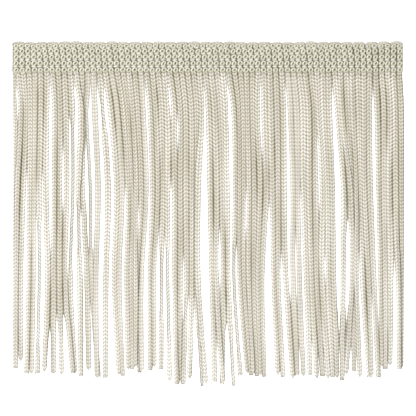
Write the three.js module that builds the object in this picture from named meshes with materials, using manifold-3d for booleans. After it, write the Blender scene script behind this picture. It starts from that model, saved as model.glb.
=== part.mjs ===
import * as THREE from 'three';
import { mergeVertices } from 'three/addons/utils/BufferGeometryUtils.js';
import Module from 'manifold-3d';

// Sizes in millimetres. The trim lies on its back: +X runs along the heading,
// +Y towards its scalloped edge, +Z up out of its face. The origin is the
// middle of the heading's back.
const PITCH = 2.6; // from one cord to the next
const COLUMNS = 66; // cords bound into the heading
const HEADING_HEIGHT = 13.2; // from the cords' exit to the tops of the scallops
const BACK_THICK = 1.3; // cords pressed side by side behind the chains
const BACK_PAST_LEFT = 0.7; // stub of a cut cord past the first column
const BACK_PAST_RIGHT = 0.3;
const SCALLOP_RISE = 0.7; // from a notch to the top of a turned-over cord
const SCALLOP_COLUMNS = 2; // a cord turns over into the next column
const CLEAR = 0.3; // room left between neighbours

const CORD_WIDTH = 2.45; // chainette lying flat
const CORD_THICK = 1.5;
const CORD_CROWN = 0.62; // width across the top, as a share of the base
const LEAST_ROOM = 1.25; // closer than this, one cord lies over the other
const ROOT_RUN = 3; // a cord's root inside the heading
const ROOT_LIFT = 0.15;
const ROOT_THICK = 1;
const ROWS = [0, 8, 17, 28, 40, 52, 65, 78, 92, 108, 124, 140]; // mm below the heading

const CHAINS = 5; // rows of chain stitches
const CHAIN_PITCH = 2.75;
const CHAIN_LOWEST = 1.25; // middle of the lowest row above the cords' exit
const LINK_HALF = (CHAIN_PITCH - CLEAR) / 2; // half height of a stitch at its middle
const TOP_LINK_HALF = 0.9; // the top row stops short of the scallops
const SEAM_HALF = 0.6; // half height where two stitches meet
const LINK_RISE = 1.3; // out of the cords, at a stitch's middle
const SEAM_RISE = 0.7;
const LINK_CROWN = 0.55;

// One row for each cord, left to right. root is in columns. upper, middle, lower
// and tip are how far it lies to the right of its root 17, 52 and 92 mm below the
// heading and at its cut end, and drop is its length. Lower lays go down first.
const STATIONS = [0, 17, 52, 92];
const CORDS = readTable(`
  root upper middle lower   tip   drop lay
  -0.5   0.2    0.3   0.3   0.4  128.5  0
   0     1.6    0.0  -0.5  -0.7  130.7  1
   1     1.1    0.0  -1.2  -1.1  128.2  1
   2     0.4    0.4   0.0  -1.1  133.3  1
   3     0.0   -0.5  -0.8  -1.5  133.7  1
   4    -0.1   -0.8  -0.7  -1.6  133.1  1
   5    -0.1   -0.4   0.4  -1.0  132.9  1
   6     1.0    0.8   0.4   0.4  132.9  1
   7     0.6    0.5   0.6   1.4  134.5  0
   8     0.6    1.2   0.5   3.8  132.5  1
   9     0.9    1.2   0.1   2.1  133.8  0
  10     2.3    1.2   1.6   2.1  134.1  1
  11     0.9    0.0   2.5   3.0  132.4  0
  12    -0.5    1.1   1.6   4.7  134.7  1
  13     0.5    1.9   1.0   1.5  135.6  1
  14     1.4    3.7   2.8   2.5  135.0  1
  15     2.3    5.1   4.0   6.1  134.4  1
  16     2.6    4.6   3.4   4.9  134.4  1
  17     2.7    5.1   4.3   5.0  131.9  1
  18     1.9    3.9   3.7   4.2  130.9  0
  19     1.6    3.0   2.9   3.1  130.7  1
  20     1.4    3.0   1.4   2.0  132.5  0
  21     0.9    2.3   0.2   0.4  132.8  1
  22     1.7    2.7   1.7   1.7  131.7  1
  23     1.2    2.4   0.4   0.8  131.0  1
  24     1.4    1.9   1.4   1.2  131.1  1
  25     1.1    1.4   1.6   2.4  137.3  1
  26     1.9    2.2   2.2   3.1  137.7  1
  27     1.9    1.9   1.9   1.4  137.3  0
  28     1.6    1.8   2.1   0.6  137.8  1
  29     1.7    1.9   1.9   0.8  136.2  1
  30     1.3    1.3   1.1   3.8  138.5  0
  31     0.9   -0.6  -0.6   2.8  138.5  1
  32     1.4    2.2   3.0   4.2  136.5  1
  33     1.6    2.4   2.2   5.3  138.3  1
  34     1.6    2.4   2.9   2.2  137.3  0
  35     1.0    1.7   2.4   4.7  139.3  1
  36     2.3    3.0   2.3   5.1  134.1  1
  37     1.9    2.2   2.4   5.7  133.6  0
  38     0.9    1.2   1.3   4.4  133.8  1
  39     0.5    1.2   1.2   3.0  134.0  1
  40     0.1    0.9   0.6   2.1  134.3  0
  41    -0.5    0.8   0.0   1.1  134.4  1
  42     0.1    0.9  -1.0   0.0  134.3  1
  43     0.4    1.2   1.9   3.6  134.4  1
  44     0.7    1.0   1.0   3.2  134.4  1
  45     0.7    1.0   1.9   5.0  135.9  1
  46     1.3    2.5   2.5   4.3  134.0  1
  47     1.3    1.9   2.7   4.5  134.8  1
  48     1.8    1.9   3.2   4.7  133.4  1
  49     1.6    1.8   3.1   5.2  135.9  1
  50     1.6    2.1   2.3   5.1  134.1  0
  51     0.5    2.5   2.3   5.1  136.1  1
  52     0.4    2.2   2.6   4.4  134.6  1
  53     0.3    1.6   2.3   3.8  135.7  0
  54     1.4    4.0   3.8   3.5  135.9  1
  55     0.8    4.3   5.2   2.6  134.2  2
  56     0.5    2.6   3.5   3.4  132.0  0
  57     0.4    1.9   1.8   3.5  135.5  0
  58     0.5    1.2   2.1   5.0  134.7  1
  59     0.0    0.0   2.1   3.2  135.2  1
  60    -0.3    0.2   1.8   3.9  134.6  1
  61     0.7    1.5   2.3   3.0  130.7  0
  62     1.2    1.0   1.4   1.6  130.9  1
  63     0.9    0.6   1.5   1.2  130.2  1
  64     0.9    1.3   2.3   2.7  131.1  1
  65     0.9    1.0   0.9   0.9  131.4  0
`);

const wasm = await Module();
wasm.setup();

function readTable(text) {
  const [names, ...rows] = text.trim().split('\n').map((line) => line.trim().split(/\s+/));
  return rows.map((row) => Object.fromEntries(row.map((value, i) => [names[i], Number(value)])));
}

// The middle of a column, counted from the left.
function columnX(column) {
  return (column + 0.5 - COLUMNS / 2) * PITCH;
}

// A place along the cords, in mm below the line where they come out of the heading.
function belowY(depth) {
  return -HEADING_HEIGHT / 2 - depth;
}

// A smooth curve through values v at places t, straight past the last one.
function smooth(t, v, at) {
  const last = t.length - 1;
  const slope = (i) => {
    const a = Math.max(i - 1, 0);
    const b = Math.min(i + 1, last);
    return (v[b] - v[a]) / (t[b] - t[a]);
  };
  if (at >= t[last]) {
    return v[last] + slope(last) * (at - t[last]);
  }
  const i = t.findIndex((place) => place > at) - 1;
  const span = t[i + 1] - t[i];
  const s = (at - t[i]) / span;
  const ease = s * s * (3 - 2 * s);
  const bend = s * (1 - s) * ((1 - s) * slope(i) - s * slope(i + 1));
  return v[i] + (v[i + 1] - v[i]) * ease + bend * span;
}

function cordX(cord, depth) {
  const t = [...STATIONS, cord.drop];
  const v = [0, cord.upper, cord.middle, cord.lower, cord.tip];
  return columnX(cord.root) + smooth(t, v, depth);
}

// Cords too near to lie side by side at a row, or that change places beside it.
function tooNear(a, b, row) {
  const apart = (r) => a.x[r] - b.x[r];
  const near = (r) => r in ROWS && Math.sign(apart(r)) !== Math.sign(apart(row));
  return Math.abs(apart(row)) < LEAST_ROOM || near(row - 1) || near(row + 1);
}

// A cord begins to climb a row before it meets the one beneath it.
function liesOver(a, b, row) {
  return [row - 1, row, row + 1].some((r) => r in ROWS && tooNear(a, b, r));
}

function halfWidth(cord, all, row) {
  const beside = all.filter((other) => other !== cord && !tooNear(cord, other, row));
  const room = beside.map((other) => Math.abs(cord.x[row] - other.x[row]) - CLEAR);
  return Math.min(CORD_WIDTH, ...room) / 2;
}

function restHeight(cord, laid, row) {
  const under = laid.filter((other) => liesOver(cord, other, row));
  return Math.max(0, ...under.map((other) => other.z[row] + CORD_THICK + CLEAR));
}

// The cords are laid one after another, each on the floor or on those before it.
function layCords() {
  const all = CORDS.map((cord) => ({ ...cord, x: ROWS.map((depth) => cordX(cord, depth)) }));
  const laid = [];
  for (const cord of all.toSorted((a, b) => a.lay - b.lay)) {
    cord.half = ROWS.map((depth, row) => halfWidth(cord, all, row));
    cord.z = ROWS.map((depth, row) => restHeight(cord, laid, row));
    laid.push(cord);
  }
  return all;
}

// The flat-bottomed sections of one cord, from its root to its cut end.
function cordSections(cord) {
  const last = ROWS.length - 1;
  const section = (row) => ({
    depth: ROWS[row],
    x: cord.x[row],
    half: cord.half[row],
    z: row === 0 ? ROOT_LIFT : cord.z[row],
    thick: row === 0 ? ROOT_THICK : CORD_THICK,
  });
  const sections = ROWS.map((depth, row) => section(row));
  const share = (cord.drop - ROWS[last - 1]) / (ROWS[last] - ROWS[last - 1]);
  for (const name of ['depth', 'x', 'half', 'z']) {
    sections[last][name] = THREE.MathUtils.lerp(sections[last - 1][name], sections[last][name], share);
  }
  return [{ ...sections[0], depth: -ROOT_RUN }, ...sections];
}

// A box cut into steps and drawn over a row of sections by a placing function.
function drawn(box, place) {
  const position = box.getAttribute('position');
  const point = new THREE.Vector3();
  for (let i = 0; i < position.count; i += 1) {
    point.fromBufferAttribute(position, i);
    position.setXYZ(i, ...place(point));
  }
  box.deleteAttribute('normal');
  box.deleteAttribute('uv');
  return mergeVertices(box, 1e-4);
}

function cordGeometry(cord) {
  const sections = cordSections(cord);
  const steps = sections.length - 1;
  return drawn(new THREE.BoxGeometry(2, steps, 1, 1, steps, 1), ({ x, y, z }) => {
    const at = sections[Math.round(steps / 2 - y)];
    const half = z > 0 ? at.half * CORD_CROWN : at.half;
    return [at.x + x * half, belowY(at.depth), at.z + (z > 0 ? at.thick : 0)];
  });
}

// The cords' roots pressed side by side, with a scallop for each turned-over cord.
function backGeometry() {
  const left = columnX(-0.5);
  const top = HEADING_HEIGHT / 2;
  const span = SCALLOP_COLUMNS * PITCH;
  const outline = new THREE.Shape();
  outline.moveTo(left - BACK_PAST_LEFT, -top);
  outline.lineTo(-left + BACK_PAST_RIGHT, -top);
  outline.lineTo(-left + BACK_PAST_RIGHT, top - SCALLOP_RISE);
  outline.lineTo(-left, top - SCALLOP_RISE);
  for (let x = -left; x > left + span / 2; x -= span) {
    const crest = top + SCALLOP_RISE / 3;
    outline.bezierCurveTo(x - span * 0.1, crest, x - span * 0.9, crest, x - span, top - SCALLOP_RISE);
  }
  outline.lineTo(left - BACK_PAST_LEFT, top - SCALLOP_RISE);
  const back = new THREE.ExtrudeGeometry(outline, {
    depth: BACK_THICK,
    bevelEnabled: false,
    curveSegments: 4,
  });
  back.deleteAttribute('normal');
  back.deleteAttribute('uv');
  return mergeVertices(back, 1e-4);
}

// A row of chain stitches: a stitch bulges at each column and dips at each seam.
function chainGeometry(row) {
  const steps = 2 * COLUMNS;
  const middle = -HEADING_HEIGHT / 2 + CHAIN_LOWEST + (CHAINS - row) * CHAIN_PITCH;
  const base = BACK_THICK + CLEAR;
  return drawn(new THREE.BoxGeometry(steps, 2, 1, steps, 1, 1), ({ x, y, z }) => {
    const step = Math.round(x + steps / 2);
    const seam = step % 2 === 0;
    const upper = row === 1 && y > 0 ? TOP_LINK_HALF : LINK_HALF;
    const half = (seam ? SEAM_HALF : upper) * (z > 0 ? LINK_CROWN : 1);
    const rise = z > 0 ? (seam ? SEAM_RISE : LINK_RISE) : 0;
    return [columnX(step / 2 - 0.5), middle + y * half, base + rise];
  });
}

function solid(geometry) {
  return new wasm.Manifold(new wasm.Mesh({
    numProp: 3,
    vertProperties: new Float32Array(geometry.getAttribute('position').array),
    triVerts: new Uint32Array(geometry.getIndex().array),
  }));
}

function geometryOf(body) {
  const mesh = body.getMesh();
  const geometry = new THREE.BufferGeometry();
  geometry.setAttribute('position', new THREE.BufferAttribute(mesh.vertProperties, 3));
  geometry.setIndex(new THREE.BufferAttribute(mesh.triVerts, 1));
  geometry.computeVertexNormals();
  return geometry;
}

function addPiece(group, name, geometry, colour) {
  const material = new THREE.MeshStandardMaterial({ color: colour, roughness: 0.75, metalness: 0 });
  const mesh = new THREE.Mesh(geometry, material);
  mesh.name = name;
  group.add(mesh);
}

function buildTrim() {
  const group = new THREE.Group();
  const cords = layCords().map((cord) => solid(cordGeometry(cord)));
  const fringe = cords.reduce((body, cord) => body.add(cord), solid(backGeometry()));
  addPiece(group, 'cords', geometryOf(fringe), '#e2dccb');
  for (let row = 1; row <= CHAINS; row += 1) {
    addPiece(group, `chain_row_${row}`, geometryOf(solid(chainGeometry(row))), '#d8d3bf');
  }
  return group;
}

export default buildTrim();
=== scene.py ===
import bpy
import numpy as np
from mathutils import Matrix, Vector


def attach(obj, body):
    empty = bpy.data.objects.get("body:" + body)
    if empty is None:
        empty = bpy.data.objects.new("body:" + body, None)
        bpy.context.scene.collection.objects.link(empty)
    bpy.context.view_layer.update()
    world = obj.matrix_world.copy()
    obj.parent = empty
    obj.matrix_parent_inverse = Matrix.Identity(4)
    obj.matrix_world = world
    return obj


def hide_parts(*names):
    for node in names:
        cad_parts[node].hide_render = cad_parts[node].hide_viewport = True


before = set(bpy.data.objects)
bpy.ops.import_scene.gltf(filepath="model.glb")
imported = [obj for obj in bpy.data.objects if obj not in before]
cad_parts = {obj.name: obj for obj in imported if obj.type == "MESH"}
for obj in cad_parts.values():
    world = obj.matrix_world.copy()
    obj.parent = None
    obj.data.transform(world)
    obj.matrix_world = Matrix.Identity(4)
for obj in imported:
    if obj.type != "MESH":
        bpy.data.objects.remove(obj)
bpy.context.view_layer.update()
print("frame loaded")

mm = 0.001
tau = 2 * np.pi

# Sizes shared with the solids, in millimetres. Depths count down from the line
# where the cords come out of the heading.
trim = {
    "pitch": 2.6,
    "columns": 66,
    "headingHeight": 13.2,
    "stations": [0, 17, 52, 92],
    "rows": [0, 8, 17, 28, 40, 52, 65, 78, 92, 108, 124, 140],
    "leastRoom": 1.25,
    "chainY": [4.55, 2.3, -0.25, -3.1, -6.05],  # the chain rows, top to bottom
    "chainX": [-1.14, -0.69, -0.42, -0.18, -0.05],  # the columns lean: each row's place
    "endX": (-0.45, 0.25),  # they stand upright at the two cut ends
    "endColumns": (5, 8),  # and lean more and more over so many columns
    "lineEase": (4, 12),  # a parting or seam begins so far outside its depths, and is whole so far on
}

# One row for each cord, left to right: its root in columns, how far it lies to the
# right of its root at the stations and at its cut end, its length and its laying turn.
cordTable = """
  root upper middle lower   tip   drop lay
  -0.5   0.2    0.3   0.3   0.4  128.5  0
   0     1.6    0.0  -0.5  -0.7  130.7  1
   1     1.1    0.0  -1.2  -1.1  128.2  1
   2     0.4    0.4   0.0  -1.1  133.3  1
   3     0.0   -0.5  -0.8  -1.5  133.7  1
   4    -0.1   -0.8  -0.7  -1.6  133.1  1
   5    -0.1   -0.4   0.4  -1.0  132.9  1
   6     1.0    0.8   0.4   0.4  132.9  1
   7     0.6    0.5   0.6   1.4  134.5  0
   8     0.6    1.2   0.5   3.8  132.5  1
   9     0.9    1.2   0.1   2.1  133.8  0
  10     2.3    1.2   1.6   2.1  134.1  1
  11     0.9    0.0   2.5   3.0  132.4  0
  12    -0.5    1.1   1.6   4.7  134.7  1
  13     0.5    1.9   1.0   1.5  135.6  1
  14     1.4    3.7   2.8   2.5  135.0  1
  15     2.3    5.1   4.0   6.1  134.4  1
  16     2.6    4.6   3.4   4.9  134.4  1
  17     2.7    5.1   4.3   5.0  131.9  1
  18     1.9    3.9   3.7   4.2  130.9  0
  19     1.6    3.0   2.9   3.1  130.7  1
  20     1.4    3.0   1.4   2.0  132.5  0
  21     0.9    2.3   0.2   0.4  132.8  1
  22     1.7    2.7   1.7   1.7  131.7  1
  23     1.2    2.4   0.4   0.8  131.0  1
  24     1.4    1.9   1.4   1.2  131.1  1
  25     1.1    1.4   1.6   2.4  137.3  1
  26     1.9    2.2   2.2   3.1  137.7  1
  27     1.9    1.9   1.9   1.4  137.3  0
  28     1.6    1.8   2.1   0.6  137.8  1
  29     1.7    1.9   1.9   0.8  136.2  1
  30     1.3    1.3   1.1   3.8  138.5  0
  31     0.9   -0.6  -0.6   2.8  138.5  1
  32     1.4    2.2   3.0   4.2  136.5  1
  33     1.6    2.4   2.2   5.3  138.3  1
  34     1.6    2.4   2.9   2.2  137.3  0
  35     1.0    1.7   2.4   4.7  139.3  1
  36     2.3    3.0   2.3   5.1  134.1  1
  37     1.9    2.2   2.4   5.7  133.6  0
  38     0.9    1.2   1.3   4.4  133.8  1
  39     0.5    1.2   1.2   3.0  134.0  1
  40     0.1    0.9   0.6   2.1  134.3  0
  41    -0.5    0.8   0.0   1.1  134.4  1
  42     0.1    0.9  -1.0   0.0  134.3  1
  43     0.4    1.2   1.9   3.6  134.4  1
  44     0.7    1.0   1.0   3.2  134.4  1
  45     0.7    1.0   1.9   5.0  135.9  1
  46     1.3    2.5   2.5   4.3  134.0  1
  47     1.3    1.9   2.7   4.5  134.8  1
  48     1.8    1.9   3.2   4.7  133.4  1
  49     1.6    1.8   3.1   5.2  135.9  1
  50     1.6    2.1   2.3   5.1  134.1  0
  51     0.5    2.5   2.3   5.1  136.1  1
  52     0.4    2.2   2.6   4.4  134.6  1
  53     0.3    1.6   2.3   3.8  135.7  0
  54     1.4    4.0   3.8   3.5  135.9  1
  55     0.8    4.3   5.2   2.6  134.2  2
  56     0.5    2.6   3.5   3.4  132.0  0
  57     0.4    1.9   1.8   3.5  135.5  0
  58     0.5    1.2   2.1   5.0  134.7  1
  59     0.0    0.0   2.1   3.2  135.2  1
  60    -0.3    0.2   1.8   3.9  134.6  1
  61     0.7    1.5   2.3   3.0  130.7  0
  62     1.2    1.0   1.4   1.6  130.9  1
  63     0.9    0.6   1.5   1.2  130.2  1
  64     0.9    1.3   2.3   2.7  131.1  1
  65     0.9    1.0   0.9   0.9  131.4  0
"""

# The partings of the fringe: the cord to the left of each, and the depths between
# which the two cords stand apart.
partingTable = """
  left  from   to
  -0.5     3   19
   1      42  124
   3      60  150
   4      43  124
   5       1   83
   6     108  150
   7      31   63
   7     112  150
   8      20   94
   9       2  150
  10      58   94
  11      33   62
  11      98  150
  12       3   76
  13       3  150
  14       3  150
  16      49  150
  19      57   75
  21       3  150
  23      70  150
  24      70  150
  25       2   22
  25      48  150
  26      17   37
  27      80  108
  28      98  150
  29      98  128
  30     118  150
  31       3  150
  32     118  150
  33      70   96
  35       3  150
  36      78  150
  38      50   76
  41       1   40
  42      58  150
  44      80  150
  45       4  103
  46      70  103
  47      50  150
  48     118  150
  50      26   64
  51      78   96
  53       6  104
  54      68   96
  57      78  150
  59      98  150
  60       7  116
  63      86  150
"""

# The deepest painted shade in the seams between cords that touch, in the same way.
seamShadeTable = """
  left  from   to
   0      12   66
   2      74  132
   3       2   52
   4       2   24
   5      90  132
   6      28   76
   7      66  106
  11       2   12
  15       2   30
  16       2   42
  17      52   78
  18      16   54
  20      68  100
  23       2   20
  23      36   70
  25      34   50
  26       2    8
  28      36   44
  28      60   74
  32      34   72
  34      66  106
  36       2   30
  39      74  100
  40      32   60
  41      44   68
  42      42   50
  43      26   46
  49       2   46
  50      84  110
  53     104  114
  54      36   66
  54     106  124
  55       2   30
  56      28   52
  57      34   70
  58      84  118
  61       2   28
  62       2   34
  63      36   68
  64      60   78
"""


def readTable(text):
    # the first line names the columns
    names, *rows = [line.split() for line in text.strip().splitlines()]
    return dict(zip(names, np.array(rows, float).T))


def scatter(index, salt):
    # the fraction of a large sine: one fixed number from 0 to 1 for each index and salt
    return (np.sin(np.asarray(index, float) * 12.9898 + salt * 78.233) * 43758.5453) % 1


def columnX(column):
    # the middle of a column, counted from the left
    return (column + 0.5 - trim["columns"] / 2) * trim["pitch"]


def leanX(y, column):
    # the lean at a height, going over to the upright place in the columns at the ends
    lean = np.interp(y, trim["chainY"][::-1], trim["chainX"][::-1])
    left = np.clip(1 - column / trim["endColumns"][0], 0, 1)
    right = np.clip(1 - (trim["columns"] - 1 - column) / trim["endColumns"][1], 0, 1)
    return lean * (1 - left - right) + trim["endX"][0] * left + trim["endX"][1] * right


def smoothThrough(t, v, at):
    # a cubic between stations that leaves each one along the chord of its neighbours,
    # and runs straight on past the last
    last = t.shape[1] - 1
    before = np.maximum(np.arange(last + 1) - 1, 0)
    after = np.minimum(np.arange(last + 1) + 1, last)
    slope = (v[:, after] - v[:, before]) / (t[:, after] - t[:, before])
    inside = np.clip(at, 0, t[:, -1:])
    i = np.clip((inside[:, :, None] >= t[:, None, :]).sum(2) - 1, 0, last - 1)
    t0, t1, v0, v1, m0, m1 = (
        np.take_along_axis(a, i + step, 1) for a in (t, v, slope) for step in (0, 1)
    )
    s = (inside - t0) / (t1 - t0)
    bend = s * (1 - s) * ((1 - s) * m0 - s * m1) * (t1 - t0)
    past = np.maximum(at - t[:, -1:], 0) * slope[:, -1:]
    return v0 + (v1 - v0) * s * s * (3 - 2 * s) + bend + past


def cordX(cords, depth):
    # root column plus the sway at that depth
    count = len(cords["root"])
    t = np.column_stack([np.tile(np.array(trim["stations"], float), (count, 1)), cords["drop"]])
    v = np.column_stack([np.zeros(count)] + [cords[n] for n in ("upper", "middle", "lower", "tip")])
    return columnX(cords["root"])[:, None] + smoothThrough(t, v, depth)


def layCords(cords, settings):
    # cords go down one after another, each on the floor or on those before it, and
    # cords side by side share the room between them; gives each cord's rest height and
    # its room to the left and to the right
    rows = np.tile(np.array(trim["rows"], float), (len(cords["root"]), 1))
    x = cordX(cords, rows)
    apart = x[:, None, :] - x[None, :, :]
    swaps = np.sign(apart[:, :, 1:]) != np.sign(apart[:, :, :-1])
    near = np.abs(apart) < trim["leastRoom"]
    near[:, :, 1:] |= swaps
    near[:, :, :-1] |= swaps
    over = near.copy()
    over[:, :, 1:] |= near[:, :, :-1]
    over[:, :, :-1] |= near[:, :, 1:]
    rest = np.zeros_like(x)
    order = np.argsort(cords["lay"], kind="stable")
    for place, cord in enumerate(order):
        under = order[:place]
        rest[cord] = np.where(over[cord, under], rest[under] + settings["lift"], 0).max(0, initial=0)
    left = np.where((apart > 0) & ~near, apart, settings["farthest"]).min(1)
    right = np.where((apart < 0) & ~near, -apart, settings["farthest"]).min(1)
    return rest, (left + settings["press"]) / 2, (right + settings["press"]) / 2


def betweenRows(values, depth):
    # eased steps from one row's value to the next
    rows = np.array(trim["rows"], float)
    at = np.clip(depth, rows[0], rows[-1] - 1e-6)
    i = np.searchsorted(rows, at, side="right") - 1
    s = (at - rows[i]) / (rows[i + 1] - rows[i])
    s = s * s * (3 - 2 * s)
    low, high = np.take_along_axis(values, i, 1), np.take_along_axis(values, i + 1, 1)
    return low + (high - low) * s


def alongRight(cords, lines, depth):
    # 1 where a line of the table runs down the right side of a cord, less and less
    # towards both its ends, which lie a little outside the depths given
    start, stop = lines["from"][:, None, None], lines["to"][:, None, None]
    outside, ease = trim["lineEase"]
    inside = np.clip((np.minimum(depth - start, stop - depth) + outside) / ease, 0, 1)
    return (inside * (lines["left"][:, None] == cords["root"])[..., None]).max(0)


def leastNear(values, count):
    # the least value within so many steps up and down a cord
    return np.min([np.roll(values, shift, 1) for shift in range(-count, count + 1)], 0)


def ramp(a, start, stop):
    # rises straight from 0 at start to 1 at stop
    return np.clip((a - start) / (stop - start), 0, 1)


def unit(a):
    # each vector over its length
    return a / np.linalg.norm(a, axis=-1, keepdims=True)


chainette = {  # one knitted cord: two columns of slanting stitches on each face
    "profile": np.array([0.0, 0.55, 0.9, 1.0, 0.9, 0.55]),  # a stitch, from crevice to crevice
    "angles": np.radians([0, 30, 62, 90, 118, 150, 180, 225, 270, 315]),
    "crevice": 0.36,  # depth of the crevices, as a share of the radius
    "edgeCrevice": 0.1,  # the same at the cord's two edges
    "groove": 0.26,  # depth of the line between the two columns
    "slant": (0.85, 0.6, 0.45),  # rise from groove to edge, in stitches: most, least, turned back
    "creviceShade": 0.58,  # painted shade: how much the crevices, the groove and the edges are darkened
    "grooveShade": 0.5,
    "edgeShade": 0.38,
}


def stitchedTubes(centre, wide, thick, turn, slant, phase, settings):
    # an oval turned about the path, cut back at the crevices and at the groove, with
    # each ring of points drawn along the path into a V; the second result is a painted
    # shade, 1 on the stitches and darker in the crevices, in the groove and at the edges
    angle = settings["angles"]
    fromGroove = np.abs(np.mod(angle, np.pi) - np.pi / 2) / (np.pi / 2)
    inGroove = fromGroove < 0.01
    place = np.arange(centre.shape[1])[None, :] + phase[:, None]
    low = 1 - settings["profile"][place % len(settings["profile"])][..., None]
    cut = settings["crevice"] + (settings["edgeCrevice"] - settings["crevice"]) * fromGroove
    relief = 1 - low * cut - settings["groove"] * inGroove
    lit = 1 - settings["grooveShade"] * inGroove - settings["edgeShade"] * fromGroove ** 3
    lit = lit * (1 - settings["creviceShade"] * low)
    along = unit(np.gradient(centre, axis=1))
    side = unit(np.stack([-along[..., 1], along[..., 0], np.zeros(along.shape[:2])], -1))
    up = np.cross(along, side)
    ovalX = np.cos(angle) * relief * wide[..., None]
    ovalY = np.sin(angle) * relief * thick[..., None]
    cos, sin = np.cos(turn)[..., None], np.sin(turn)[..., None]
    x, y = ovalX * cos - ovalY * sin, ovalX * sin + ovalY * cos
    drawn = -slant[:, None, None] * fromGroove
    points = centre[:, :, None] + side[:, :, None] * x[..., None] + up[:, :, None] * y[..., None]
    points += along[:, :, None] * np.broadcast_to(drawn, x.shape)[..., None]
    return points, lit


def gridFaces(tubes, steps, sides, ringed):
    # quads between neighbouring rings of points, and an end face where a tube is open
    r = np.arange(steps if ringed else steps - 1)
    c = np.arange(sides)
    here, there = r[:, None] * sides, ((r + 1) % steps)[:, None] * sides
    beside = (c + 1) % sides
    quad = np.stack([here + c, here + beside, there + beside, there + c], -1)
    first = np.arange(tubes)[:, None, None] * steps * sides
    quads = (first + quad.reshape(1, -1, 4)).reshape(-1, 4)
    uv = np.stack(np.broadcast_arrays(
        (c[None, :, None] + np.array([0, 1, 1, 0])) / sides,
        r[:, None, None] + np.array([0, 0, 1, 1]),
    ), -1).astype(float).reshape(-1, 2)
    ends = np.concatenate([c[::-1][None], c[None] + (steps - 1) * sides])
    caps = np.zeros((0, sides), int) if ringed else (first + ends[None]).reshape(-1, sides)
    return quads, np.tile(uv, (tubes, 1)), caps


def addMesh(name, points, tone, ringed, uvStep, material):
    # one mesh from tubes x steps x sides points, with its UV along and around the yarn
    tubes, steps, sides, _ = points.shape
    quads, uv, caps = gridFaces(tubes, steps, sides, ringed)
    mesh = bpy.data.meshes.new(name)
    mesh.from_pydata((points.reshape(-1, 3) * mm).tolist(), [], quads.tolist() + caps.tolist())
    layer = mesh.uv_layers.new(name="yarn")
    uv[:, 1] *= uvStep
    flat = np.concatenate([uv.ravel(), np.zeros(caps.size * 2)])
    layer.data.foreach_set("uv", flat.astype(np.float32))
    attribute = mesh.attributes.new("tone", "FLOAT", "POINT")
    attribute.data.foreach_set("value", tone.astype(np.float32).ravel())
    mesh.polygons.foreach_set("use_smooth", np.ones(len(mesh.polygons), bool))
    mesh.materials.append(material)
    mesh.update()
    obj = bpy.data.objects.new(name, mesh)
    bpy.context.scene.collection.objects.link(obj)
    return obj


def makeFibreGroup():
    # fine filaments along the yarn: noise stretched along V of the UV map
    group = bpy.data.node_groups.new("yarnFibre", "ShaderNodeTree")
    group.interface.new_socket("Around", in_out="INPUT", socket_type="NodeSocketFloat")
    group.interface.new_socket("Along", in_out="INPUT", socket_type="NodeSocketFloat")
    group.interface.new_socket("Height", in_out="OUTPUT", socket_type="NodeSocketFloat")
    nodes, links = group.nodes, group.links
    entry, leave = nodes.new("NodeGroupInput"), nodes.new("NodeGroupOutput")
    uv = nodes.new("ShaderNodeUVMap")
    uv.uv_map = "yarn"
    split, join = nodes.new("ShaderNodeSeparateXYZ"), nodes.new("ShaderNodeCombineXYZ")
    links.new(uv.outputs["UV"], split.inputs[0])
    for axis, name in (("X", "Around"), ("Y", "Along")):
        scale = nodes.new("ShaderNodeMath")
        scale.operation = "MULTIPLY"
        links.new(split.outputs[axis], scale.inputs[0])
        links.new(entry.outputs[name], scale.inputs[1])
        links.new(scale.outputs[0], join.inputs[axis])
    noise = nodes.new("ShaderNodeTexNoise")
    noise.inputs["Scale"].default_value = 1.0
    noise.inputs["Detail"].default_value = 3.0
    links.new(join.outputs[0], noise.inputs["Vector"])
    links.new(noise.outputs["Fac"], leave.inputs["Height"])
    return group


def colours(sockets):
    # the colour sockets among a node's inputs or outputs
    return [socket for socket in sockets if socket.type == "RGBA"]


def makeYarn(name, settings, group):
    # filament colour between two tones, going over to a painted shadow colour where the
    # piece's tone, which carries painted shade, falls, with a filament bump
    material = bpy.data.materials.new(name)
    material.use_nodes = True
    nodes, links = material.node_tree.nodes, material.node_tree.links
    shader = nodes["Principled BSDF"]
    shader.inputs["Roughness"].default_value = settings["roughness"]
    shader.inputs["Sheen Weight"].default_value = settings["sheen"]
    shader.inputs["Specular IOR Level"].default_value = settings["specular"]
    fibre = nodes.new("ShaderNodeGroup")
    fibre.node_tree = group
    fibre.inputs["Around"].default_value = settings["around"]
    fibre.inputs["Along"].default_value = settings["along"]
    filament, dye = nodes.new("ShaderNodeMix"), nodes.new("ShaderNodeMix")
    for mix in (filament, dye):
        mix.data_type = "RGBA"
    colours(filament.inputs)[0].default_value = (*settings["dark"], 1)
    colours(filament.inputs)[1].default_value = (*settings["light"], 1)
    links.new(fibre.outputs["Height"], filament.inputs["Factor"])
    tone = nodes.new("ShaderNodeAttribute")
    tone.attribute_name = "tone"
    colours(dye.inputs)[0].default_value = (*settings["shadow"], 1)
    links.new(colours(filament.outputs)[0], colours(dye.inputs)[1])
    links.new(tone.outputs["Fac"], dye.inputs["Factor"])
    links.new(colours(dye.outputs)[0], shader.inputs["Base Color"])
    bump = nodes.new("ShaderNodeBump")
    bump.inputs["Strength"].default_value = settings["bump"]
    bump.inputs["Distance"].default_value = settings["filament"]
    links.new(fibre.outputs["Height"], bump.inputs["Height"])
    links.new(bump.outputs["Normal"], shader.inputs["Normal"])
    return material


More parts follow.
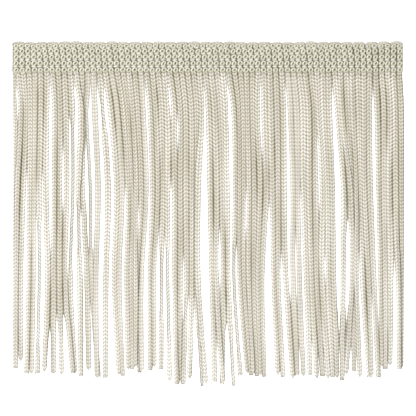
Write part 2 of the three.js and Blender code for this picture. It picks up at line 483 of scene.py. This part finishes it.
fibreGroup = makeFibreGroup()
cordYarn = makeYarn("chainetteYarn", {
    "dark": (0.81, 0.77, 0.685),
    "light": (0.98, 0.97, 0.96),
    "shadow": (0.155, 0.127, 0.044),
    "roughness": 0.5,
    "sheen": 0.1,
    "specular": 0.4,
    "around": 40.0,  # filaments around the yarn
    "along": 1.5,
    "bump": 0.35,
    "filament": 0.0002,  # height of a filament, in metres
}, fibreGroup)
headingYarn = makeYarn("headingYarn", {
    "dark": (0.475, 0.456, 0.345),
    "light": (0.572, 0.556, 0.454),
    "shadow": (0.13, 0.122, 0.045),
    "roughness": 0.35,
    "sheen": 0.1,
    "specular": 0.7,
    "around": 9.0,  # filaments around the yarn
    "along": 1.2,
    "bump": 0.35,
    "filament": 0.0002,  # height of a filament, in metres
}, fibreGroup)
print("materials made")

# The fringe cords, from behind the chains to their cut ends.
skirt = {
    "start": -11.4,  # depth where a cord begins, behind the upper chains
    "comesFree": (-1.4, 2.6),  # depths between which it leaves the heading
    "stitches": 90,
    "wide": ([0, 50, 130], [1.42, 1.36, 1.13]),  # depths, and half width of a cord lying flat
    "wideVaries": 0.05,
    "thick": 0.72,  # half thickness
    "lift": 1.2,  # height that a cord adds to one lying on it
    "press": 0.36,  # how far neighbours press into each other
    "farthest": 9.0,  # where the next cord no longer matters
    "spread": (0.6, 0.9),  # away from partings, slits up to the first close, none past the second
    "leastGap": 0.7,  # at the partings
    "squeezed": 0.5,  # share of its reach that a cord can lose to a neighbour
    "evenOver": 15,  # steps; no cord widens for less than twice as many
    "endsFree": (3.0, 13.0),  # the cut ends do not reach for each other
    "root": (1.28, 0.8),  # half width and half thickness where it leaves the heading
    "rootAt": (0.8, 1.4),  # depth of that, and for how far
    "rootLift": 0.4,
    "bound": (1.45, 0.6),  # half width and half thickness inside the heading
    "loose": (0.5, 0.8),  # half widths of the loose cord at the cut end, there and below
    "turns": ((0.07, 29.0), (0.12, 83.0)),  # slow turning: radians and wavelength
    "onEdge": [
        (4, 62, 128), (9, 18, 92), (10, 54, 84), (12, 10, 85), (14, 6, 28), (24, 76, 112),
        (25, 74, 122), (28, 96, 114), (30, 110, 150), (35, 114, 150), (36, 72, 130),
    ],  # root column, from depth, to depth
    "edgeTurn": 1.15,
    "edgeEase": 8.0,
    "boundShade": 0.7,  # painted shade on cords seen between the chains
    "inLight": (-1.0, -0.3),  # depths between which that painted shade fades out
    "coveredShade": 0.86,  # painted shade on cords that others lie over
    "tones": (0.88, 1.0),  # all other cords
    "turnedBack": 0.06,  # share of cords that show their back, with level stitches
    "back": (0.75, 0.84),  # their painted stitch shade shows less, and their tone is lower
    "relief": ([0, 60, 130], [1.24, 1.14, 0.98]),  # depths, and how strongly the painted stitch shade shows
    "seam": (0.52, 1.0),  # painted shade between cords that touch, and in the deepest seams
    "seamVaries": 0.6,  # from one pair of cords to the next
    "seamSharp": 1.5,
    "rootSeamShade": (0.5, 0.75, 2.25),  # painted seam shade, deeper at the heading: how much, and depths where it fades
    "mottle": (0.07, 47.0),  # slow changes of tone along a cord: size and wavelength
    "taper": (0.25, 1.4),  # at the cut ends: how much, and over what length
    "ragged": 0.35,
    "floorClear": 0.02,
    "pieces": 5,
    "uvStep": 0.25,  # V from one ring of points to the next
}
cords = readTable(cordTable)
number = np.arange(len(cords["root"]))
rest, leftRoom, rightRoom = layCords(cords, skirt)
steps = skirt["stitches"] * len(chainette["profile"]) + 1
share = np.linspace(0, 1, steps)[None, :]
depth = skirt["start"] + (cords["drop"][:, None] - skirt["start"]) * share
freed = ramp(depth, *skirt["comesFree"])  # 0 inside the heading, 1 below it
freed = freed * freed * (3 - 2 * freed)
turn = freed * sum(
    size * np.sin(tau * (depth / length + scatter(number, salt)[:, None]))
    for salt, (size, length) in enumerate(skirt["turns"])
)
onEdge = sum(
    ramp(np.minimum(depth - start, stop - depth), 0, skirt["edgeEase"])
    * (cords["root"] == root)[:, None]
    for root, start, stop in skirt["onEdge"]
)
turn += (skirt["edgeTurn"] - turn) * onEdge
varied = 1 + skirt["wideVaries"] * (2 * scatter(number, 15)[:, None] - 1)
freeWide = np.interp(depth, *skirt["wide"]) * varied
loose = (cords["root"] < 0)[:, None]
boundWide = np.where(loose, skirt["loose"][0], skirt["bound"][0])
freeWide = np.where(loose, skirt["loose"][1], freeWide)
halfWide = boundWide + (freeWide - boundWide) * freed
halfThick = skirt["bound"][1] + (skirt["thick"] - skirt["bound"][1]) * freed
atRoot = np.exp(-((depth - skirt["rootAt"][0]) / skirt["rootAt"][1]) ** 2)
halfWide = halfWide + (np.minimum(halfWide, skirt["root"][0]) - halfWide) * atRoot
halfThick = halfThick + (skirt["root"][1] - halfThick) * atRoot
reach = np.hypot(halfWide * np.cos(turn), halfThick * np.sin(turn))
openRight = alongRight(cords, readTable(partingTable), depth)
openLeft = np.vstack([np.zeros((1, steps)), openRight[:-1]])
toEnd = cords["drop"][:, None] - depth
hanging = ramp(toEnd, *skirt["endsFree"])
growth = []
for room, opening in ((leftRoom, openLeft), (rightRoom, openRight)):
    spare = np.maximum(betweenRows(room, depth) - reach, -skirt["squeezed"] * reach)
    parted = ramp(spare, *skirt["spread"])
    closed, opened = spare * (1 - parted), np.minimum(spare - skirt["leastGap"] / 2, 0)
    closed = closed * np.where(spare > 0, hanging, 1)
    closed = np.where(closed > 0, np.maximum(leastNear(closed, skirt["evenOver"]), 0), closed)
    growth.append((closed + (opened - closed) * opening) * freed * (1 - onEdge))
squeeze = 1 + (growth[0] + growth[1]) / 2 / reach
height = np.hypot(halfWide * squeeze * np.sin(turn), halfThick * np.cos(turn))
endTaper = 1 - skirt["taper"][0] * np.clip(1 - toEnd / skirt["taper"][1], 0, 1) ** 2
cordY = -trim["headingHeight"] / 2 - depth
leaning = leanX(cordY, cords["root"][:, None]) * (1 - freed)
centre = np.stack([
    cordX(cords, depth) + leaning + (growth[1] - growth[0]) / 2,
    cordY,
    betweenRows(rest, depth) * freed + height + skirt["rootLift"] * atRoot,
], -1)
stitchLength = (cords["drop"] - skirt["start"]) / skirt["stitches"]
steep, shallow, back = chainette["slant"]
slant = shallow + (steep - shallow) * scatter(number, 21)
turnedBack = scatter(number, 22) < skirt["turnedBack"]
slant = np.where(turnedBack, back, slant) * stitchLength
slant = np.where(number % 2 == 0, slant, -slant)
phase = np.floor(scatter(number, 9) * 3).astype(int) + 2  # no cord ends in a crevice
# the cords' painted shade of the crevices, the groove and the edges, from the stitches
skirtPoints, skirtShadeAndTone = stitchedTubes(
    centre, halfWide * squeeze * endTaper, halfThick * endTaper, turn, slant, phase, chainette)
sides = len(chainette["angles"])
ragged = (scatter(np.arange(len(number) * sides), 7).reshape(-1, sides) - 0.5) * skirt["ragged"]
skirtPoints[:, -1, :, 1] += ragged
skirtPoints[..., 2] = np.maximum(skirtPoints[..., 2], skirt["floorClear"])
darkest, lightest = skirt["tones"]
ownTone = darkest + (lightest - darkest) * scatter(number, 3)
# painted shade on cords that others lie over, otherwise each cord's own tone
cordShadeAndTone = np.where(cords["lay"] == 0, skirt["coveredShade"], ownTone)[:, None]
wave = np.sin(tau * (depth / skirt["mottle"][1] + scatter(number, 4)[:, None]))
cordShadeAndTone = cordShadeAndTone * (1 - skirt["mottle"][0] * (1 + wave))
# the painted stitch shade shows more or less strongly down the cord, and less on turned-back cords
relief, lower = (np.where(turnedBack, value, 1.0)[:, None, None] for value in skirt["back"])
relief = relief * np.interp(depth, *skirt["relief"])[..., None]
skirtShadeAndTone = (1 - relief * (1 - skirtShadeAndTone)) * lower
# painted shade on the flanks of touching cords, deepest in the listed seams and at the heading
mostAtRoot, fades, gone = skirt["rootSeamShade"]
rootSeamShade = mostAtRoot * (1 - ramp(depth, fades, gone))
seamShadeRight = np.maximum(alongRight(cords, readTable(seamShadeTable), depth), rootSeamShade)
plainSeamShade = skirt["seam"][0] * (1 + skirt["seamVaries"] * (2 * scatter(number, 61)[:, None] - 1))
seamShadeRight = (plainSeamShade + (skirt["seam"][1] - plainSeamShade) * seamShadeRight) * (1 - openRight)
seamShadeLeft = np.vstack([np.zeros((1, steps)), seamShadeRight[:-1]])
for seam, hand in ((seamShadeRight, 1), (seamShadeLeft, -1)):
    flank = np.clip(hand * np.cos(chainette["angles"]), 0, 1) ** skirt["seamSharp"]
    skirtShadeAndTone = skirtShadeAndTone * (1 - flank * seam[..., None])
# painted shade on the cords under the chains, fading out below the heading
inLight = ramp(depth, *skirt["inLight"])
cordShadeAndTone = cordShadeAndTone * (skirt["boundShade"] + (1 - skirt["boundShade"]) * inLight)
skirtShadeAndTone = skirtShadeAndTone * cordShadeAndTone[..., None]
for part, members in enumerate(np.array_split(number, skirt["pieces"])):
    piece = addMesh(
        f"fringe_cords_{part + 1}", skirtPoints[members], skirtShadeAndTone[members], False,
        skirt["uvStep"], cordYarn)
    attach(piece, "root")
    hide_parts("cords")
print("cords made")

# The turned-over cords that make the scalloped edge.
scallop = {
    "stitches": 5,
    "reach": 1.9,  # half the span of a turn
    "spring": 5.0,  # y where the turn begins
    "rise": 0.85,
    "uneven": 0.45,
    "square": 0.5,  # below 1 the turn is flatter than a half circle
    "bend": 0.8,  # share of the cord that turns
    "legs": 1.0,  # how far its ends run down behind the chains
    "sway": 0.5,
    "slant": 0.65,  # rise of a stitch
    "wide": 0.75,
    "thick": 0.6,
    "level": 1.25,  # z of the cord's middle
    "sink": 0.3,  # its ends lie lower
    "tone": 0.46,
    "toneVaries": 0.2,
    "relief": 0.5,  # how strongly the painted stitch shade shows
}
turns = np.arange(trim["columns"] // 2)
along = np.linspace(-1, 1, scallop["stitches"] * len(chainette["profile"]) + 1)[None, :]
arc = np.clip(along / scallop["bend"], -1, 1) * np.pi / 2
leg = ramp(np.abs(along), scallop["bend"], 1) * scallop["legs"]
crest = scallop["rise"] + scallop["uneven"] * (scatter(turns, 11)[:, None] - 0.6)
sway = scallop["sway"] * (scatter(turns, 13)[:, None] - 0.5)
pair = 2 * turns + 0.5  # between the two columns that a turn joins
archX = (columnX(pair) + leanX(trim["headingHeight"] / 2, pair))[:, None]
archX = archX + np.sin(arc) * scallop["reach"] + sway * np.cos(arc)
archY = scallop["spring"] + np.maximum(np.cos(arc), 0) ** scallop["square"] * crest - leg
archZ = scallop["level"] - scallop["sink"] * np.abs(np.sin(arc))
arch = np.stack(np.broadcast_arrays(archX, archY, archZ), -1)
ones = np.ones(arch.shape[:2])
slant = np.where(turns % 2 == 0, scallop["slant"], -scallop["slant"])
archPoints, archShadeAndTone = stitchedTubes(
    arch, ones * scallop["wide"], ones * scallop["thick"], 0 * ones, slant, turns % 5, chainette)
ownTone = scallop["tone"] * (1 + scallop["toneVaries"] * scatter(turns, 5))
# the painted stitch shade of the turned cords, softened, times their own tone
archShadeAndTone = (1 - scallop["relief"] * (1 - archShadeAndTone)) * ownTone[:, None, None]
scallops = addMesh("turned_over_cords", archPoints, archShadeAndTone, False, skirt["uvStep"], cordYarn)
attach(scallops, "root")
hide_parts("cords")
print("scallops made")

# The chain stitches: in each column of each row a leaning ring of yarn with a slit in
# it. Below it the cord that it binds swells out.
chain = {
    "halfHigh": 0.88,  # of the ring's middle line
    "halfWide": 0.83,
    "yarn": (0.54, 0.4, 0.42),  # half thickness across the limbs and the ends, and up
    "square": 0.85,  # below 1 the limbs run straighter than an oval's
    "lean": 0.28,
    "level": 1.8,
    "nearLimb": 0.2,  # the left side of a ring stands higher
    "farShade": 0.12,  # and painted shade darkens its right side
    "swellY": [3.7, 1.25, -1.5, -4.5],  # the cords swell out between the rows
    "swellX": [-0.2, -0.2, -0.27, -0.35],  # from the leaning column
    "swell": (1.1, 0.66, 0.5),  # half width, half height and half thickness
    "swellLevel": 1.6,
    "swellTone": 0.62,
    "swellRise": 0.15,  # its right end is higher
    "swellRings": 6,
    "swellEnds": 0.94,  # share of its half width where its end rings lie
    "uneven": [0.17, 0.13, 0.12, 0.11, 0.11],
    "tints": (0.92, 1.0),
    "lit": (0.82, 0.2),  # painted shade on the flanks of the yarn, and how much more painted light its top catches
    "tall": [0.82, 0.94, 1.0, 1.0, 1.0],  # the upper rows are closer together
    "steps": 12,
    "sides": 6,
    "uvStep": 0.3,
}


def aroundPath(path, ahead, across, radiusOut, radiusUp, sides):
    # an oval carried along a path: one half axis away from the ring or path, the other up
    up = np.cross(ahead, across)
    around = np.linspace(0, tau, sides, endpoint=False)[:, None]
    outward = np.cos(around) * across[:, :, None] * radiusOut[..., None, None]
    return path[:, :, None] + outward + np.sin(around) * up[:, :, None] * radiusUp[..., None, None]


column = np.arange(trim["columns"])
upright = np.array([0.0, 0.0, 1.0])
t = np.linspace(0, tau, chain["steps"], endpoint=False)[None, :]
facing = np.linspace(0, tau, chain["sides"], endpoint=False)
# painted light and shade around the yarn: its top lighter, its flanks darker
lit = np.minimum(chain["lit"][0] + chain["lit"][1] * np.sin(facing), 1)
bow = np.sign(np.sin(t)) * np.abs(np.sin(t)) ** chain["square"]
dull, bright = chain["tints"]
for row, rowY in enumerate(trim["chainY"]):
    wobble = [
        chain["uneven"][row] * (2 * scatter(column, 20 + 5 * row + k)[:, None] - 1) for k in range(4)
    ]
    tint = dull + (bright - dull) * scatter(column, 40 + row)[:, None, None]
    middleX = columnX(column)[:, None] + wobble[3]
    ringY = np.cos(t) * chain["halfHigh"] * chain["tall"][row] * (1 + wobble[0])
    ringX = bow * chain["halfWide"] * (1 + wobble[1]) + (chain["lean"] + wobble[2]) * ringY
    ringZ = chain["level"] - chain["nearLimb"] * np.sin(t) + wobble[3]
    ringX = ringX + middleX + leanX(rowY, column)[:, None]
    ring = np.stack([ringX, rowY + ringY + wobble[1], ringZ], -1)
    ahead = unit(np.roll(ring, -1, 1) - np.roll(ring, 1, 1))
    ones = np.ones(ring.shape[:2])
    limb, end, deep = chain["yarn"]
    across, deep = ones * (end + (limb - end) * np.abs(np.sin(t))), ones * deep
    ringPoints = aroundPath(ring, ahead, unit(np.cross(upright, ahead)), across, deep, chain["sides"])
    # painted shade on the flanks and on the right side of each ring, times its own tint
    ringShadeAndTone = tint * lit * (1 - chain["farShade"] * (1 + np.sin(t)) / 2)[..., None]
    piece = addMesh(
        f"chain_stitches_{row + 1}", ringPoints, ringShadeAndTone, True, chain["uvStep"], headingYarn)
    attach(piece, "root")
    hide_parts(f"chain_row_{row + 1}")
    if row == len(chain["swellY"]):
        continue
    halfLong, halfTall, halfDeep = chain["swell"]
    swellX, swellY = chain["swellX"][row], chain["swellY"][row]
    s = np.linspace(-chain["swellEnds"], chain["swellEnds"], chain["swellRings"])
    s = s[None, :] * np.ones((len(column), 1))
    swell = np.stack([
        middleX + leanX(swellY, column)[:, None] + swellX + s * halfLong,
        swellY + s * chain["swellRise"] + wobble[0],
        chain["swellLevel"] + 0 * s,
    ], -1)
    ahead = unit(np.gradient(swell, axis=1))
    full = np.sqrt(1 - s * s)
    swellPoints = aroundPath(
        swell, ahead, unit(np.cross(upright, ahead)), full * halfTall, full * halfDeep, chain["sides"])
    # painted shade on the flanks of the swells, times their tone and tint
    swellTone = tint * lit * np.full((1, chain["swellRings"], 1), chain["swellTone"])
    piece = addMesh(f"cord_swells_{row + 1}", swellPoints, swellTone, False, chain["uvStep"], cordYarn)
    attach(piece, "root")
    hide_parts("cords")
print("chains made")

# Floor, light and camera.
studio = {
    "floorReach": 3.0,
    "floorLevel": -0.0002,
    "floorTone": 0.7,
    "floorGlow": 0.8,
    "world": 0.32,
    "keyPower": 8.25,
    "keySize": 0.55,
    "keyAt": (-0.1, 0.0, 0.75),
    "aim": (0.0, -0.067, 0.0),
    "cameraHeight": 1.2,
    "cameraAt": (-0.00007, -0.0671),
    "viewWidth": 0.1843,
}
floorMesh = bpy.data.meshes.new("floor")
corners = [
    (x * studio["floorReach"], y * studio["floorReach"], studio["floorLevel"])
    for x, y in ((-1, -1), (1, -1), (1, 1), (-1, 1))
]
floorMesh.from_pydata(corners, [], [(0, 1, 2, 3)])
floorPaint = bpy.data.materials.new("floorPaint")
floorPaint.use_nodes = True
floorShader = floorPaint.node_tree.nodes["Principled BSDF"]
floorShader.inputs["Base Color"].default_value = (*[studio["floorTone"]] * 3, 1)
floorShader.inputs["Roughness"].default_value = 1.0
floorShader.inputs["Emission Color"].default_value = (1, 1, 1, 1)
floorShader.inputs["Emission Strength"].default_value = studio["floorGlow"]
floorMesh.materials.append(floorPaint)
floor = bpy.data.objects.new("floor", floorMesh)
bpy.context.scene.collection.objects.link(floor)
floor.visible_diffuse = False  # the cords take no light from the bright floor
floor.visible_glossy = False

world = bpy.data.worlds.new("studio")
world.use_nodes = True
world.node_tree.nodes["Background"].inputs["Color"].default_value = (1, 1, 1, 1)
world.node_tree.nodes["Background"].inputs["Strength"].default_value = studio["world"]
bpy.context.scene.world = world
bpy.context.scene.view_settings.view_transform = "Standard"

keyData = bpy.data.lights.new("key", "AREA")
keyData.energy = studio["keyPower"]
keyData.size = studio["keySize"]
key = bpy.data.objects.new("key", keyData)
bpy.context.scene.collection.objects.link(key)
key.location = studio["keyAt"]
toAim = Vector(studio["aim"]) - Vector(studio["keyAt"])
key.rotation_euler = toAim.to_track_quat("-Z", "Y").to_euler()

cameraData = bpy.data.cameras.new("camera")
cameraData.sensor_width = 36
cameraData.lens = cameraData.sensor_width * studio["cameraHeight"] / studio["viewWidth"]
camera = bpy.data.objects.new("camera", cameraData)
bpy.context.scene.collection.objects.link(camera)
camera.location = (*studio["cameraAt"], studio["cameraHeight"])
bpy.context.scene.camera = camera
print("stage made")
